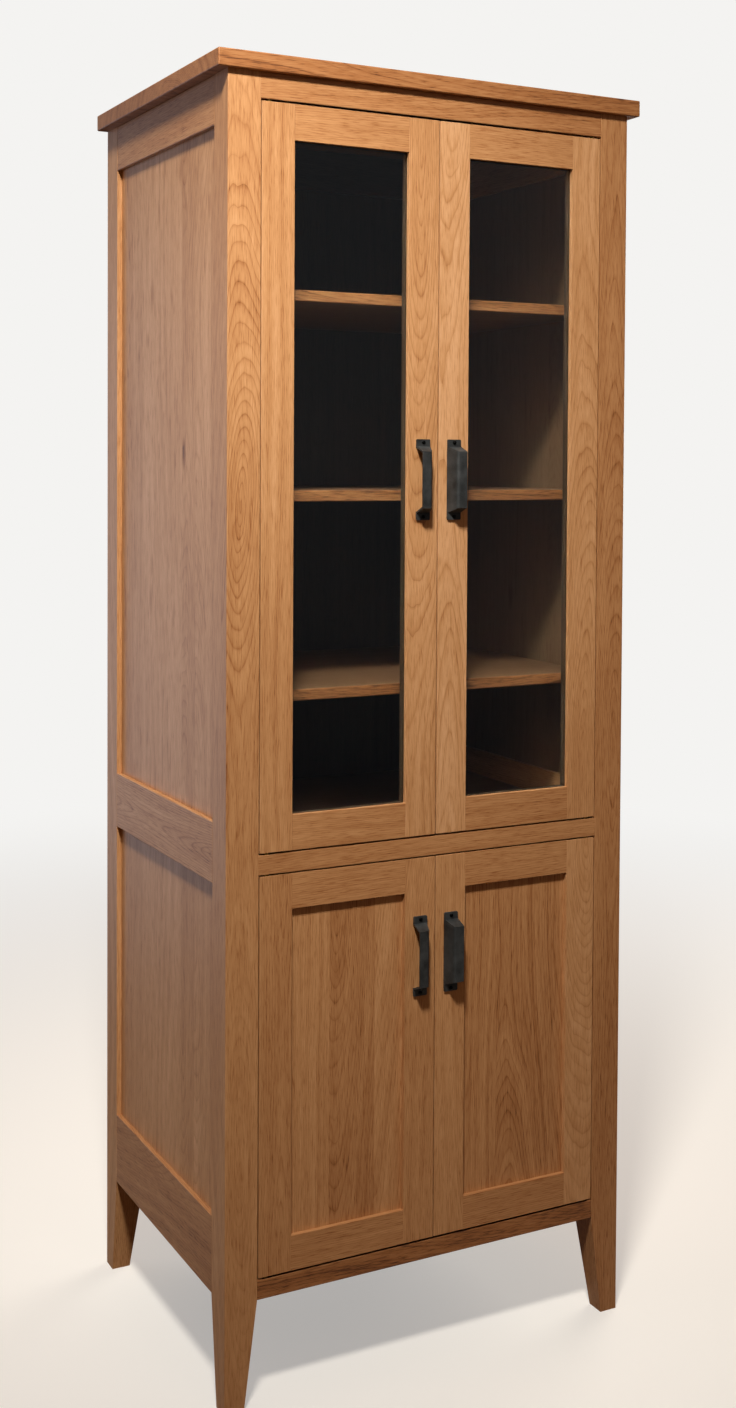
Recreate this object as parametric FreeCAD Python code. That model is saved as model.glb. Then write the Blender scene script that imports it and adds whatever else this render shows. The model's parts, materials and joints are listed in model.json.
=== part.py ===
import FreeCAD, Part
import os

# China cabinet on tapered legs: a frame and panel case, two glazed doors over two panelled doors.
# Millimetres. X runs to the right, Y runs to the back, Z runs up from the floor.

# Case
case_height = 1930.0  # floor to the top of the slab
case_width = 680.0  # over the posts
case_depth = 518.0  # over the posts
slab_thick = 25.0
slab_side_over = 18.0
slab_front_over = 9.0
slab_edge_round = 2.0
post_side = 50.0
post_edge_round = 1.5
foot_side = 30.0
stub_side = 24.0  # square stub on each post, let into the slab
stub_high = 12.0

# Case rails
leg_clear = 157.0  # floor to the lowest rails, where the legs start to taper
front_bottom_high = 29.0
front_middle_high = 28.0
front_top_high = 37.0
front_middle_bottom = 770.0
side_thick = 24.0
side_bottom_high = 113.0
side_middle_high = 89.0
side_middle_under_deck = 45.0  # side middle rail's lower edge below the deck's top
side_top_high = 71.0
back_thick = 24.0
rail_tenon_long = 20.0
rail_tenon_thick = 8.0
front_tenon_shoulder = 5.0
side_tenon_shoulder = 14.0

# Case panels, decks and shelves
side_panel_recess = 8.0
side_panel_thick = 8.0
side_groove_deep = 10.0
back_panel_recess = 8.0
back_panel_thick = 6.0
back_groove_deep = 8.0
deck_thick = 16.0
deck_groove_deep = 6.0
shelf_thick = 16.0
glazed_shelves = 3
shelf_set_back = 45.0  # shelf edge behind the case's face
shelf_back_room = 3.0
first_shelf_share = 0.205  # of the height from the middle deck to the slab
shelf_step_share = 0.2635
lower_shelf_share = 0.5
support_pin_r = 2.5
support_pin_deep = 12.0
support_hole_past = 1.0  # how much deeper than its pin each hole is
support_pad_long = 10.0
support_pad_wide = 10.0
support_pad_thick = 2.5

# Doors
door_thick = 22.0
door_frame_wide = 51.0  # stiles and rails
side_gap = 2.0
centre_gap = 2.0
upper_door_gap = 3.0  # over and under the glazed doors
lower_door_gap = 2.5  # over and under the panelled doors
door_tenon_share = 0.55  # of the stile's width
door_tenon_thick = 8.0
door_outer_shoulder = 8.0
door_inner_shoulder = 12.0
door_recess = 7.5  # glass and panel behind the door's face
rabbet_wide = 8.0
glass_thick = 4.0
glass_edge_room = 1.5
door_panel_thick = 7.0
door_groove_deep = 9.0

# Hinges and catches
pivot_in = 12.0  # hinge line from the door's hinge edge
pivot_back = 6.0  # hinge line behind the door's face
pivot_r = 2.0
washer_r = 4.0
leaf_wide = 9.0
leaf_thick = 2.5
leaf_long = 40.0
magnet_wide = 60.0
magnet_deep = 12.0
magnet_high = 30.0
magnet_below_rail = 16.0
strike_in = 15.0  # strike screw from the door's latch edge
strike_below_top = 10.0

# Pulls and screws
pull_long = 120.0
pull_wide = 22.8
pull_out = 22.0
pull_base_long = 101.0
pull_front_long = 84.0
pull_side_slope = 7.0
pull_wall = 2.2
pull_bend_r = 5.0  # where its closed side turns into its front
foot_thick = 3.0
foot_round = 2.0
lower_pull_drop = 147.0  # lower pull's centre below its door's top
screw_r = 1.5
screw_long = 12.0
pilot_past = 1.0  # how much deeper than its screw each pilot hole is
head_r = 3.0
head_high = 1.6
head_slot = 0.8

# Clearances
cheek_room = 0.1  # around each tenon
tenon_end_room = 1.0
panel_room = 1.5  # at each side of a loose panel
panel_top_room = 2.0
panel_slack = 0.1  # behind a loose panel
notch_room = 1.0  # around a post
deck_room = 0.5
pivot_room = 0.05
pivot_end_room = 0.2
washer_room = 0.1
hole_room = 0.05  # around a screw or a shelf pin
screw_hole_room = 0.2  # around a screw in a pull's foot
strike_room = 0.4  # between a strike screw and its magnet
past = 1.0  # how far a cutting shape runs past a face
near = 0.1  # closer than this, two edges' ends are taken to be at one place

# Derived places
half_wide = case_width / 2
inner_half = half_wide - post_side
front_y = (pull_out - case_depth) / 2
back_y = front_y + case_depth
slab_bottom = case_height - slab_thick
front_thick = door_thick + head_high + strike_room
front_top_bottom = slab_bottom - front_top_high
front_bottom_top = leg_clear + front_bottom_high
deck_top = front_middle_bottom + front_middle_high
side_middle_bottom = deck_top - side_middle_under_deck
side_middle_top = side_middle_bottom + side_middle_high
side_bottom_top = leg_clear + side_bottom_high
side_top_bottom = slab_bottom - side_top_high
side_inner = half_wide - side_thick
back_panel_front = back_y - back_panel_recess - back_panel_thick
upper_room = slab_bottom - deck_top
lower_room = front_middle_bottom - front_bottom_top
pull_foot_long = (pull_long - pull_base_long) / 2
upper_door = (deck_top + upper_door_gap, front_top_bottom - upper_door_gap)
lower_door = (front_bottom_top + lower_door_gap, front_middle_bottom - lower_door_gap)
hinge_x = -inner_half + side_gap + pivot_in
hinge_y = front_y + pivot_back
latch_x = -centre_gap / 2
door_tenon_long = door_tenon_share * door_frame_wide


def block(x0, x1, y0, y1, z0, z1):
    return Part.makeBox(x1 - x0, y1 - y0, z1 - z0, FreeCAD.Vector(x0, y0, z0))


def rod(radius, length, x, y, z, way):
    return Part.makeCylinder(radius, length, FreeCAD.Vector(x, y, z), FreeCAD.Vector(*way))


def mirrored(shape):
    return shape.mirror(FreeCAD.Vector(0, 0, 0), FreeCAD.Vector(1, 0, 0))


def both_sides(shape):
    return [shape, mirrored(shape)]


def cut_all(shape, cutters):
    for cutter in cutters:
        shape = shape.cut(cutter)
    return shape


def fuse_all(shape, others):
    for other in others:
        shape = shape.fuse(other)
    return shape.removeSplitter()


# Tenons of the case rails. Each function gives the left end; a mortise is the same box with room.


def front_tenon(z0, z1, thick, face_y, room, end_room):
    middle = face_y + thick / 2
    half = rail_tenon_thick / 2 + room
    low = z0 + front_tenon_shoulder - room
    high = z1 - front_tenon_shoulder + room
    end = -inner_half - rail_tenon_long - end_room
    return block(end, -inner_half, middle - half, middle + half, low, high)


def side_tenon(z0, z1, at_back, room, end_room):
    low = z0 + side_tenon_shoulder - room
    high = z1 - side_tenon_shoulder + room
    x0 = -half_wide + side_panel_recess - room
    x1 = x0 + rail_tenon_thick + 2 * room
    reach = rail_tenon_long + end_room
    if at_back:
        return block(x0, x1, back_y - post_side, back_y - post_side + reach, low, high)
    return block(x0, x1, front_y + post_side - reach, front_y + post_side, low, high)


def front_rail_spans():
    bottom = (leg_clear, front_bottom_top)
    middle = (front_middle_bottom, deck_top)
    top = (front_top_bottom, slab_bottom)
    return [bottom, middle, top]


def side_rail_spans():
    bottom = (leg_clear, side_bottom_top)
    middle = (side_middle_bottom, side_middle_top)
    top = (side_top_bottom, slab_bottom)
    return [bottom, middle, top]


def back_rail_spans():
    return [(leg_clear, side_bottom_top), (side_top_bottom, slab_bottom)]


def front_mortises():
    cutters = []
    for z0, z1 in front_rail_spans():
        cutters.append(front_tenon(z0, z1, front_thick, front_y, cheek_room, tenon_end_room))
    return cutters


def back_mortises():
    cutters = []
    for z0, z1 in back_rail_spans():
        cutters.append(front_tenon(z0, z1, back_thick, back_y - back_thick, cheek_room, tenon_end_room))
    return cutters


def side_mortises(at_back):
    cutters = []
    for z0, z1 in side_rail_spans():
        cutters.append(side_tenon(z0, z1, at_back, cheek_room, tenon_end_room))
    return cutters


# Grooves, each cut as one box through every piece around its panel.


def side_panel_zones():
    return [(side_bottom_top, side_middle_bottom), (side_middle_top, side_top_bottom)]


def side_groove(z0, z1):
    x0 = -half_wide + side_panel_recess
    x1 = x0 + side_panel_thick + panel_slack
    y0 = front_y + post_side - side_groove_deep
    y1 = back_y - post_side + side_groove_deep
    return block(x0, x1, y0, y1, z0 - side_groove_deep, z1 + side_groove_deep)


def side_grooves():
    return [side_groove(z0, z1) for z0, z1 in side_panel_zones()]


def back_groove():
    reach = inner_half + back_groove_deep
    y1 = back_y - back_panel_recess
    y0 = y1 - back_panel_thick - panel_slack
    low = side_bottom_top - back_groove_deep
    high = side_top_bottom + back_groove_deep
    return block(-reach, reach, y0, y1, low, high)


def deck_groove(top):
    x0 = -side_inner - deck_groove_deep
    return block(x0, -side_inner, front_y, back_y, top - deck_thick, top)


# Posts


def post_blank(at_back):
    out_x = -half_wide
    in_x = out_x + post_side
    foot_x = out_x + foot_side
    side = [(out_x, 0), (foot_x, 0), (in_x, leg_clear), (in_x, slab_bottom), (out_x, slab_bottom)]
    wire = Part.makePolygon([FreeCAD.Vector(x, front_y, z) for x, z in side + side[:1]])
    across = Part.Face(wire).extrude(FreeCAD.Vector(0, post_side, 0))
    in_y = front_y + post_side
    foot_y = front_y + foot_side
    edge = [(front_y, 0), (foot_y, 0), (in_y, leg_clear), (in_y, slab_bottom), (front_y, slab_bottom)]
    wire = Part.makePolygon([FreeCAD.Vector(out_x, y, z) for y, z in edge + edge[:1]])
    along = Part.Face(wire).extrude(FreeCAD.Vector(post_side, 0, 0))
    blank = ease_outer_edge(across.common(along))
    if at_back:
        middle = FreeCAD.Vector(0, (front_y + back_y) / 2, 0)
        blank = blank.mirror(middle, FreeCAD.Vector(0, 1, 0))
    return blank


def ease_outer_edge(blank):
    corner = FreeCAD.Vector(-half_wide, front_y, 0)
    edges = []
    for edge in blank.Edges:
        ends = [FreeCAD.Vector(v.X, v.Y, 0) for v in edge.Vertexes]
        if all(end.distanceToPoint(corner) < near for end in ends):
            edges.append(edge)
    return blank.makeFillet(post_edge_round, edges)


def post_stub(at_back, room):
    middle_x = -half_wide + post_side / 2
    middle_y = front_y + post_side / 2
    if at_back:
        middle_y = back_y - post_side / 2
    half = stub_side / 2 + room
    top = slab_bottom + stub_high + room
    return block(middle_x - half, middle_x + half, middle_y - half, middle_y + half, slab_bottom, top)


def post(at_back):
    blank = fuse_all(post_blank(at_back), [post_stub(at_back, 0)])
    cutters = side_mortises(at_back) + side_grooves()
    if at_back:
        cutters += back_mortises() + [back_groove()]
    else:
        cutters += front_mortises()
    cutters += support_holes(at_back)
    return cut_all(blank, cutters)


# Slab


def top_slab():
    reach = half_wide + slab_side_over
    slab = block(-reach, reach, front_y - slab_front_over, back_y, slab_bottom, case_height)
    slab = slab.makeFillet(slab_edge_round, slab.Edges)
    cutters = both_sides(post_stub(False, cheek_room)) + both_sides(post_stub(True, cheek_room))
    return cut_all(slab, cutters)


# Case rails


def cross_rail(z0, z1, thick, face_y):
    rail = block(-inner_half, inner_half, face_y, face_y + thick, z0, z1)
    return fuse_all(rail, both_sides(front_tenon(z0, z1, thick, face_y, 0, 0)))


def front_rail(level):
    z0, z1 = front_rail_spans()[level]
    rail = cross_rail(z0, z1, front_thick, front_y)
    for zone, gap in door_zones():
        for leaf in case_leaves(zone, gap, cheek_room):
            rail = cut_all(rail, both_sides(leaf))
    return rail


def back_rail(level):
    z0, z1 = back_rail_spans()[level]
    rail = cross_rail(z0, z1, back_thick, back_y - back_thick)
    return rail.cut(back_groove())


def side_rail(level):
    z0, z1 = side_rail_spans()[level]
    rail = block(-half_wide, -side_inner, front_y + post_side, back_y - post_side, z0, z1)
    rail = fuse_all(rail, [side_tenon(z0, z1, False, 0, 0), side_tenon(z0, z1, True, 0, 0)])
    cutters = side_grooves() + [deck_groove(deck_top), deck_groove(front_bottom_top)]
    return cut_all(rail, cutters)


# Panels, decks and shelves


def side_panel(level):
    z0, z1 = side_panel_zones()[level]
    x0 = -half_wide + side_panel_recess
    y0 = front_y + post_side - side_groove_deep + panel_room
    y1 = back_y - post_side + side_groove_deep - panel_room
    low = z0 - side_groove_deep
    high = z1 + side_groove_deep - panel_top_room
    return block(x0, x0 + side_panel_thick, y0, y1, low, high)


def back_panel():
    reach = inner_half + back_groove_deep - panel_room
    y1 = back_y - back_panel_recess
    low = side_bottom_top - back_groove_deep
    high = side_top_bottom + back_groove_deep - panel_top_room
    return block(-reach, reach, y1 - back_panel_thick, y1, low, high)


def notch(at_back):
    x0 = -half_wide
    x1 = -inner_half + notch_room
    if at_back:
        return block(x0, x1, back_y - post_side - notch_room, back_y, 0, case_height)
    return block(x0, x1, front_y, front_y + post_side + notch_room, 0, case_height)


def notched_board(half, y0, y1, z0, z1):
    board = block(-half, half, y0, y1, z0, z1)
    return cut_all(board, both_sides(notch(False)) + both_sides(notch(True)))


def deck(top, rear_y):
    half = side_inner + deck_groove_deep - deck_room
    return notched_board(half, front_y + front_thick, rear_y, top - deck_thick, top)


def shelf(top):
    half = side_inner - notch_room
    rear_y = back_panel_front - shelf_back_room
    return notched_board(half, front_y + shelf_set_back, rear_y, top - shelf_thick, top)


def shelf_tops():
    tops = [front_bottom_top + lower_shelf_share * lower_room]
    for step in range(glazed_shelves):
        share = first_shelf_share + step * shelf_step_share
        tops.append(deck_top + share * upper_room)
    return tops


def support_middle_x():
    return -(side_inner + inner_half) / 2


def support_holes(at_back):
    holes = []
    for top in shelf_tops():
        z = top - shelf_thick - support_pin_r
        radius = support_pin_r + hole_room
        deep = support_pin_deep + support_hole_past
        if at_back:
            holes.append(rod(radius, deep, support_middle_x(), back_y - post_side, z, (0, 1, 0)))
        else:
            holes.append(rod(radius, deep, support_middle_x(), front_y + post_side, z, (0, -1, 0)))
    return holes


def support(top, at_back):
    x = support_middle_x()
    high = top - shelf_thick
    length = support_pin_deep + support_pad_long
    low = high - support_pad_thick
    x0 = x - support_pad_wide / 2
    x1 = x + support_pad_wide / 2
    if at_back:
        face = back_y - post_side
        pin = rod(support_pin_r, length, x, face - support_pad_long, high - support_pin_r, (0, 1, 0))
        return fuse_all(pin, [block(x0, x1, face - support_pad_long, face, low, high)])
    face = front_y + post_side
    pin = rod(support_pin_r, length, x, face - support_pin_deep, high - support_pin_r, (0, 1, 0))
    return fuse_all(pin, [block(x0, x1, face, face + support_pad_long, low, high)])


def shelf_supports():
    found = []
    for top in shelf_tops():
        for at_back in (False, True):
            found += both_sides(support(top, at_back))
    return Part.makeCompound(found)


# Hinges: each has a leaf with a pin let into a case rail and a bored leaf let into the door's end.


def door_zones():
    return [(lower_door, lower_door_gap), (upper_door, upper_door_gap)]


def leaf_plate(z0, z1, room):
    x0 = hinge_x - leaf_wide / 2
    half = leaf_wide / 2
    return block(x0 - room, x0 + leaf_long + room, hinge_y - half - room, hinge_y + half + room, z0, z1)


def case_leaves(zone, gap, room):
    under = zone[0] - gap
    over = zone[1] + gap
    return [leaf_plate(under - leaf_thick, under, room), leaf_plate(over, over + leaf_thick, room)]


def pivot_pins(zone, gap):
    reach = gap + leaf_thick - pivot_end_room
    pins = [rod(pivot_r, reach, hinge_x, hinge_y, zone[0] - gap, (0, 0, 1))]
    pins.append(rod(pivot_r, reach, hinge_x, hinge_y, zone[1] + gap, (0, 0, -1)))
    return pins


def washers(zone, gap):
    high = gap - washer_room
    found = [rod(washer_r, high, hinge_x, hinge_y, zone[0] - gap, (0, 0, 1))]
    found.append(rod(washer_r, high, hinge_x, hinge_y, zone[1] + gap, (0, 0, -1)))
    return found


def case_hinge_leaves():
    found = []
    for zone, gap in door_zones():
        pieces = zip(case_leaves(zone, gap, 0), pivot_pins(zone, gap), washers(zone, gap))
        for leaf, pin, washer in pieces:
            found += both_sides(fuse_all(leaf, [pin, washer]))
    return Part.makeCompound(found)


def door_leaves(zone, room):
    low = leaf_plate(zone[0], zone[0] + leaf_thick, room)
    high = leaf_plate(zone[1] - leaf_thick, zone[1], room)
    return [low, high]


def door_hinge_leaves(zone):
    length = zone[1] - zone[0] + 2 * past
    bore = rod(pivot_r + pivot_room, length, hinge_x, hinge_y, zone[0] - past, (0, 0, 1))
    return Part.makeCompound([leaf.cut(bore) for leaf in door_leaves(zone, 0)])


# Doors. Every function gives the left door; the right one is its mirror image.


def door_edges():
    return -inner_half + side_gap, latch_x


def door_opening(zone):
    x0, x1 = door_edges()
    wide = door_frame_wide
    return x0 + wide, x1 - wide, zone[0] + wide, zone[1] - wide


def glass_rabbet(zone):
    x0, x1, z0, z1 = door_opening(zone)
    y0 = front_y + door_recess
    y1 = front_y + door_thick
    return block(x0 - rabbet_wide, x1 + rabbet_wide, y0, y1, z0 - rabbet_wide, z1 + rabbet_wide)


def panel_groove(zone):
    x0, x1, z0, z1 = door_opening(zone)
    y0 = front_y + door_recess
    y1 = y0 + door_panel_thick + panel_slack
    deep = door_groove_deep
    return block(x0 - deep, x1 + deep, y0, y1, z0 - deep, z1 + deep)


def door_tenons(zone, at_top, room, end_room):
    x0, x1, z0, z1 = door_opening(zone)
    low = zone[0] + door_outer_shoulder
    high = z0 - door_inner_shoulder
    if at_top:
        low = z1 + door_inner_shoulder
        high = zone[1] - door_outer_shoulder
    y0 = front_y + (door_thick - door_tenon_thick) / 2
    y1 = y0 + door_tenon_thick
    reach = door_tenon_long + end_room
    left = block(x0 - reach, x0, y0 - room, y1 + room, low - room, high + room)
    right = block(x1, x1 + reach, y0 - room, y1 + room, low - room, high + room)
    return [left, right]


def door_rails(zone, hollow):
    x0, x1, z0, z1 = door_opening(zone)
    rails = []
    for at_top in (False, True):
        low, high = (z1, zone[1]) if at_top else (zone[0], z0)
        rail = block(x0, x1, front_y, front_y + door_thick, low, high)
        rail = fuse_all(rail, door_tenons(zone, at_top, 0, 0))
        rails.append(cut_all(rail, [hollow] + door_leaves(zone, cheek_room)))
    return Part.makeCompound(rails)


def stile(zone, hollow, x0, x1):
    blank = block(x0, x1, front_y, front_y + door_thick, zone[0], zone[1])
    cutters = [hollow]
    for at_top in (False, True):
        cutters += door_tenons(zone, at_top, cheek_room, tenon_end_room)
    return cut_all(blank, cutters)


def hinge_stile(zone, hollow):
    x0 = door_edges()[0]
    wood = stile(zone, hollow, x0, x0 + door_frame_wide)
    return cut_all(wood, door_leaves(zone, cheek_room))


def latch_stile(zone, hollow, pull_z):
    wood = stile(zone, hollow, latch_x - door_frame_wide, latch_x)
    radius = screw_r + hole_room
    holes = []
    for z in pull_screw_heights(pull_z):
        deep = screw_long - foot_thick + pilot_past
        holes.append(rod(radius, deep, pull_middle_x(), front_y, z, (0, 1, 0)))
    deep = screw_long + pilot_past
    holes.append(rod(radius, deep, latch_x - strike_in, front_y + door_thick, strike_z(zone), (0, -1, 0)))
    return cut_all(wood, holes)


def door_glass(zone):
    x0, x1, z0, z1 = door_opening(zone)
    side = rabbet_wide - glass_edge_room
    y0 = front_y + door_recess
    low = z0 - rabbet_wide
    high = z1 + rabbet_wide - glass_edge_room
    return block(x0 - side, x1 + side, y0, y0 + glass_thick, low, high)


def glazing_beads(zone):
    x0, x1, z0, z1 = door_opening(zone)
    y0 = front_y + door_recess + glass_thick
    y1 = front_y + door_thick
    wide = rabbet_wide
    low = block(x0 - wide, x1 + wide, y0, y1, z0 - wide, z0)
    high = block(x0 - wide, x1 + wide, y0, y1, z1, z1 + wide)
    left = block(x0 - wide, x0, y0, y1, z0, z1)
    right = block(x1, x1 + wide, y0, y1, z0, z1)
    return Part.makeCompound([low, high, left, right])


def door_panel(zone):
    x0, x1, z0, z1 = door_opening(zone)
    side = door_groove_deep - panel_room
    y0 = front_y + door_recess
    low = z0 - door_groove_deep
    high = z1 + door_groove_deep - panel_top_room
    return block(x0 - side, x1 + side, y0, y0 + door_panel_thick, low, high)


# Pulls: a cupped strap, closed towards the doors' meeting line and open on the other side.


def pull_middle_x():
    return latch_x - door_frame_wide / 2


def latch_pull_x():
    return pull_middle_x() + pull_wide / 2


def pull_screw_heights(pull_z):
    reach = (pull_base_long + pull_foot_long) / 2
    return [pull_z - reach, pull_z + reach]


def cup(x_low, x_high, slope, long_front, long_base, y_front, y_base, z):
    front = (x_low, y_front, z - long_front / 2, z - long_base / 2, x_low)
    base = (x_high - slope, y_base, z + long_front / 2, z + long_base / 2, x_high)
    return Part.makeWedge(*front, *base)


def bend_edge(body):
    found = []
    for edge in body.Edges:
        flat = all(abs(v.Y - front_y + pull_out) < near for v in edge.Vertexes)
        inner = all(abs(v.X - latch_pull_x() + pull_side_slope) < near for v in edge.Vertexes)
        if flat and inner:
            found.append(edge)
    return found


def pull_foot(z0, z1, outer_z):
    x1 = latch_pull_x()
    x0 = x1 - pull_wide
    foot = block(x0, x1, front_y - foot_thick, front_y, z0, z1)
    corners = []
    for edge in foot.Edges:
        level = all(abs(v.Z - outer_z) < near for v in edge.Vertexes)
        ends = edge.Vertexes
        if level and abs(ends[0].Y - ends[1].Y) > near:
            corners.append(edge)
    return foot.makeFillet(foot_round, corners)


def pull(pull_z):
    x1 = latch_pull_x()
    x0 = x1 - pull_wide
    face = front_y - pull_out
    body = cup(x0, x1, pull_side_slope, pull_front_long, pull_base_long, face, front_y, pull_z)
    body = body.makeFillet(pull_bend_r, bend_edge(body))
    inner_front = pull_front_long - 2 * pull_wall
    inner_base = pull_base_long - 2 * pull_wall
    wall_x = x1 - pull_wall
    wall_y = face + pull_wall
    body = body.cut(cup(x0 - past, wall_x, pull_side_slope, inner_front, inner_base, wall_y, front_y, pull_z))
    half = pull_base_long / 2
    low = pull_foot(pull_z - pull_long / 2, pull_z - half + foot_thick, pull_z - pull_long / 2)
    high = pull_foot(pull_z + half - foot_thick, pull_z + pull_long / 2, pull_z + pull_long / 2)
    body = fuse_all(body, [low, high])
    for z in pull_screw_heights(pull_z):
        radius = screw_r + screw_hole_room
        body = body.cut(rod(radius, foot_thick + 2 * past, pull_middle_x(), front_y + past, z, (0, -1, 0)))
    return body


def screw(x, y, z, outward):
    ball_r = (head_r**2 + head_high**2) / (2 * head_high)
    ball = Part.makeSphere(ball_r, FreeCAD.Vector(x, y + outward * (head_high - ball_r), z))
    y0 = min(y, y + outward * head_high)
    head = ball.common(block(x - head_r, x + head_r, y0, y0 + head_high, z - head_r, z + head_r))
    top = y + outward * head_high
    y0 = min(top, top - outward * head_slot)
    half = head_slot / 2
    head = head.cut(block(x - head_r, x + head_r, y0, y0 + head_slot, z - half, z + half))
    return fuse_all(head, [rod(screw_r, screw_long, x, y, z, (0, -outward, 0))])


def strike_z(zone):
    return zone[1] - strike_below_top


def door_screws(zone, pull_z):
    found = []
    for z in pull_screw_heights(pull_z):
        found.append(screw(pull_middle_x(), front_y - foot_thick, z, -1))
    found.append(screw(latch_x - strike_in, front_y + door_thick, strike_z(zone), 1))
    return Part.makeCompound(found)


def catch_magnets():
    found = []
    half = magnet_wide / 2
    y0 = front_y + front_thick
    tops = [deck_top - deck_thick, front_top_bottom - magnet_below_rail + magnet_high]
    for top in tops:
        found.append(block(-half, half, y0, y0 + magnet_deep, top - magnet_high, top))
    return Part.makeCompound(found)


def save(name, shape):
    shape.exportStep("parts/" + name + ".step")


def save_pair(name, shape):
    save(name.format(side="left"), shape)
    save(name.format(side="right"), mirrored(shape))


def save_case():
    save("top_slab", top_slab())
    save_pair("front_{side}_post", post(False))
    save_pair("back_{side}_post", post(True))
    for level, name in enumerate(["bottom", "middle", "top"]):
        save("front_" + name + "_rail", front_rail(level))
        save_pair("{side}_" + name + "_rail", side_rail(level))
    for level, name in enumerate(["bottom", "top"]):
        save("back_" + name + "_rail", back_rail(level))
    for level, name in enumerate(["lower", "upper"]):
        save_pair("{side}_" + name + "_panel", side_panel(level))
    save("back_panel", back_panel())
    save("middle_deck", deck(deck_top, back_panel_front))
    save("bottom_deck", deck(front_bottom_top, back_y - back_thick))
    for name, top in zip(["lower_shelf", "low_shelf", "middle_shelf", "high_shelf"], shelf_tops()):
        save(name, shelf(top))
    save("shelf_supports", shelf_supports())
    save("case_hinge_leaves", case_hinge_leaves())
    save("catch_magnets", catch_magnets())


def save_door(level, zone, hollow, pull_z):
    start = level + "_{side}_"
    save_pair(start + "hinge_stile", hinge_stile(zone, hollow))
    save_pair(start + "latch_stile", latch_stile(zone, hollow, pull_z))
    save_pair(start + "door_rails", door_rails(zone, hollow))
    save_pair(start + "hinge_leaves", door_hinge_leaves(zone))
    save_pair(start + "pull", pull(pull_z))
    save_pair(start + "screws", door_screws(zone, pull_z))


os.makedirs("parts", exist_ok=True)
save_case()
save_door("upper", upper_door, glass_rabbet(upper_door), sum(upper_door) / 2)
save_pair("upper_{side}_glass", door_glass(upper_door))
save_pair("upper_{side}_beads", glazing_beads(upper_door))
save_door("lower", lower_door, panel_groove(lower_door), lower_door[1] - lower_pull_drop)
save_pair("lower_{side}_door_panel", door_panel(lower_door))
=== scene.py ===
import json
from math import radians

import bpy
from mathutils import Matrix, Vector


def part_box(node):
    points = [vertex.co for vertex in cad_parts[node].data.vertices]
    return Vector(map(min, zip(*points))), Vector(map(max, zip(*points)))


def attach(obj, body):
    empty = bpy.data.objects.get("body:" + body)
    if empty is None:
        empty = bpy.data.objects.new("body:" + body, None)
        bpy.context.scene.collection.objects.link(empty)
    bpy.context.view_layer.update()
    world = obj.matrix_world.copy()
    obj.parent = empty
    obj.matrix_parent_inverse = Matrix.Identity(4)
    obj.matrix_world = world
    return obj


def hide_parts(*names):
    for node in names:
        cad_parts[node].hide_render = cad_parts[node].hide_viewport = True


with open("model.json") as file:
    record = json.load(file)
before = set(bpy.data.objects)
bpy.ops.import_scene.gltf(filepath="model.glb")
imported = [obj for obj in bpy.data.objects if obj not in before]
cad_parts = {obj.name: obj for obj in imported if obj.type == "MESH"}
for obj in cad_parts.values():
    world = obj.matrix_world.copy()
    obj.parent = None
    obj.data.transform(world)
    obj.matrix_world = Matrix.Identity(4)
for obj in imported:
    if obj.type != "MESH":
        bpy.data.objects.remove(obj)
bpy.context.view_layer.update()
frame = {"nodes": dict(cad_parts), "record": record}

record = frame["record"]
bodyOf = {name: body for body, names in record["behaviour"]["bodies"].items() for name in names}
slotOf = {name: part.data.materials[0].name for name, part in frame["nodes"].items()}
print("frame loaded:", len(frame["nodes"]), "parts")


# an sRGB hex value as the linear colour that a shader takes
def linear(hexColour):
    parts = [int(hexColour[i:i + 2], 16) / 255 for i in (1, 3, 5)]
    return [p / 12.92 if p <= 0.04045 else ((p + 0.055) / 1.055) ** 2.4 for p in parts] + [1.0]


# adds one node with its settings, its ramp stops and its inputs. An input is a value, an output of another
# node, or a whole node, which stands for its first output
def addNode(tree, kind, inputs=None, stops=None, **settings):
    new = tree.nodes.new(kind)
    for name, value in settings.items():
        setattr(new, name, value)
    if stops:
        ramp = new.color_ramp.elements
        while len(ramp) < len(stops):
            ramp.new(0.5)
        for stop, (place, colour) in zip(ramp, stops):
            stop.position = place
            stop.color = linear(colour) if isinstance(colour, str) else [colour, colour, colour, 1.0]
    for socket, value in (inputs or {}).items():
        if isinstance(value, (bpy.types.Node, bpy.types.NodeSocket)):
            tree.links.new(getattr(value, "outputs", [value])[0], new.inputs[socket])
        else:
            new.inputs[socket].default_value = value
    return new


def newMaterial(name):
    material = bpy.data.materials.new(name)
    material.use_nodes = True
    material.node_tree.nodes.clear()
    return material, material.node_tree


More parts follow.
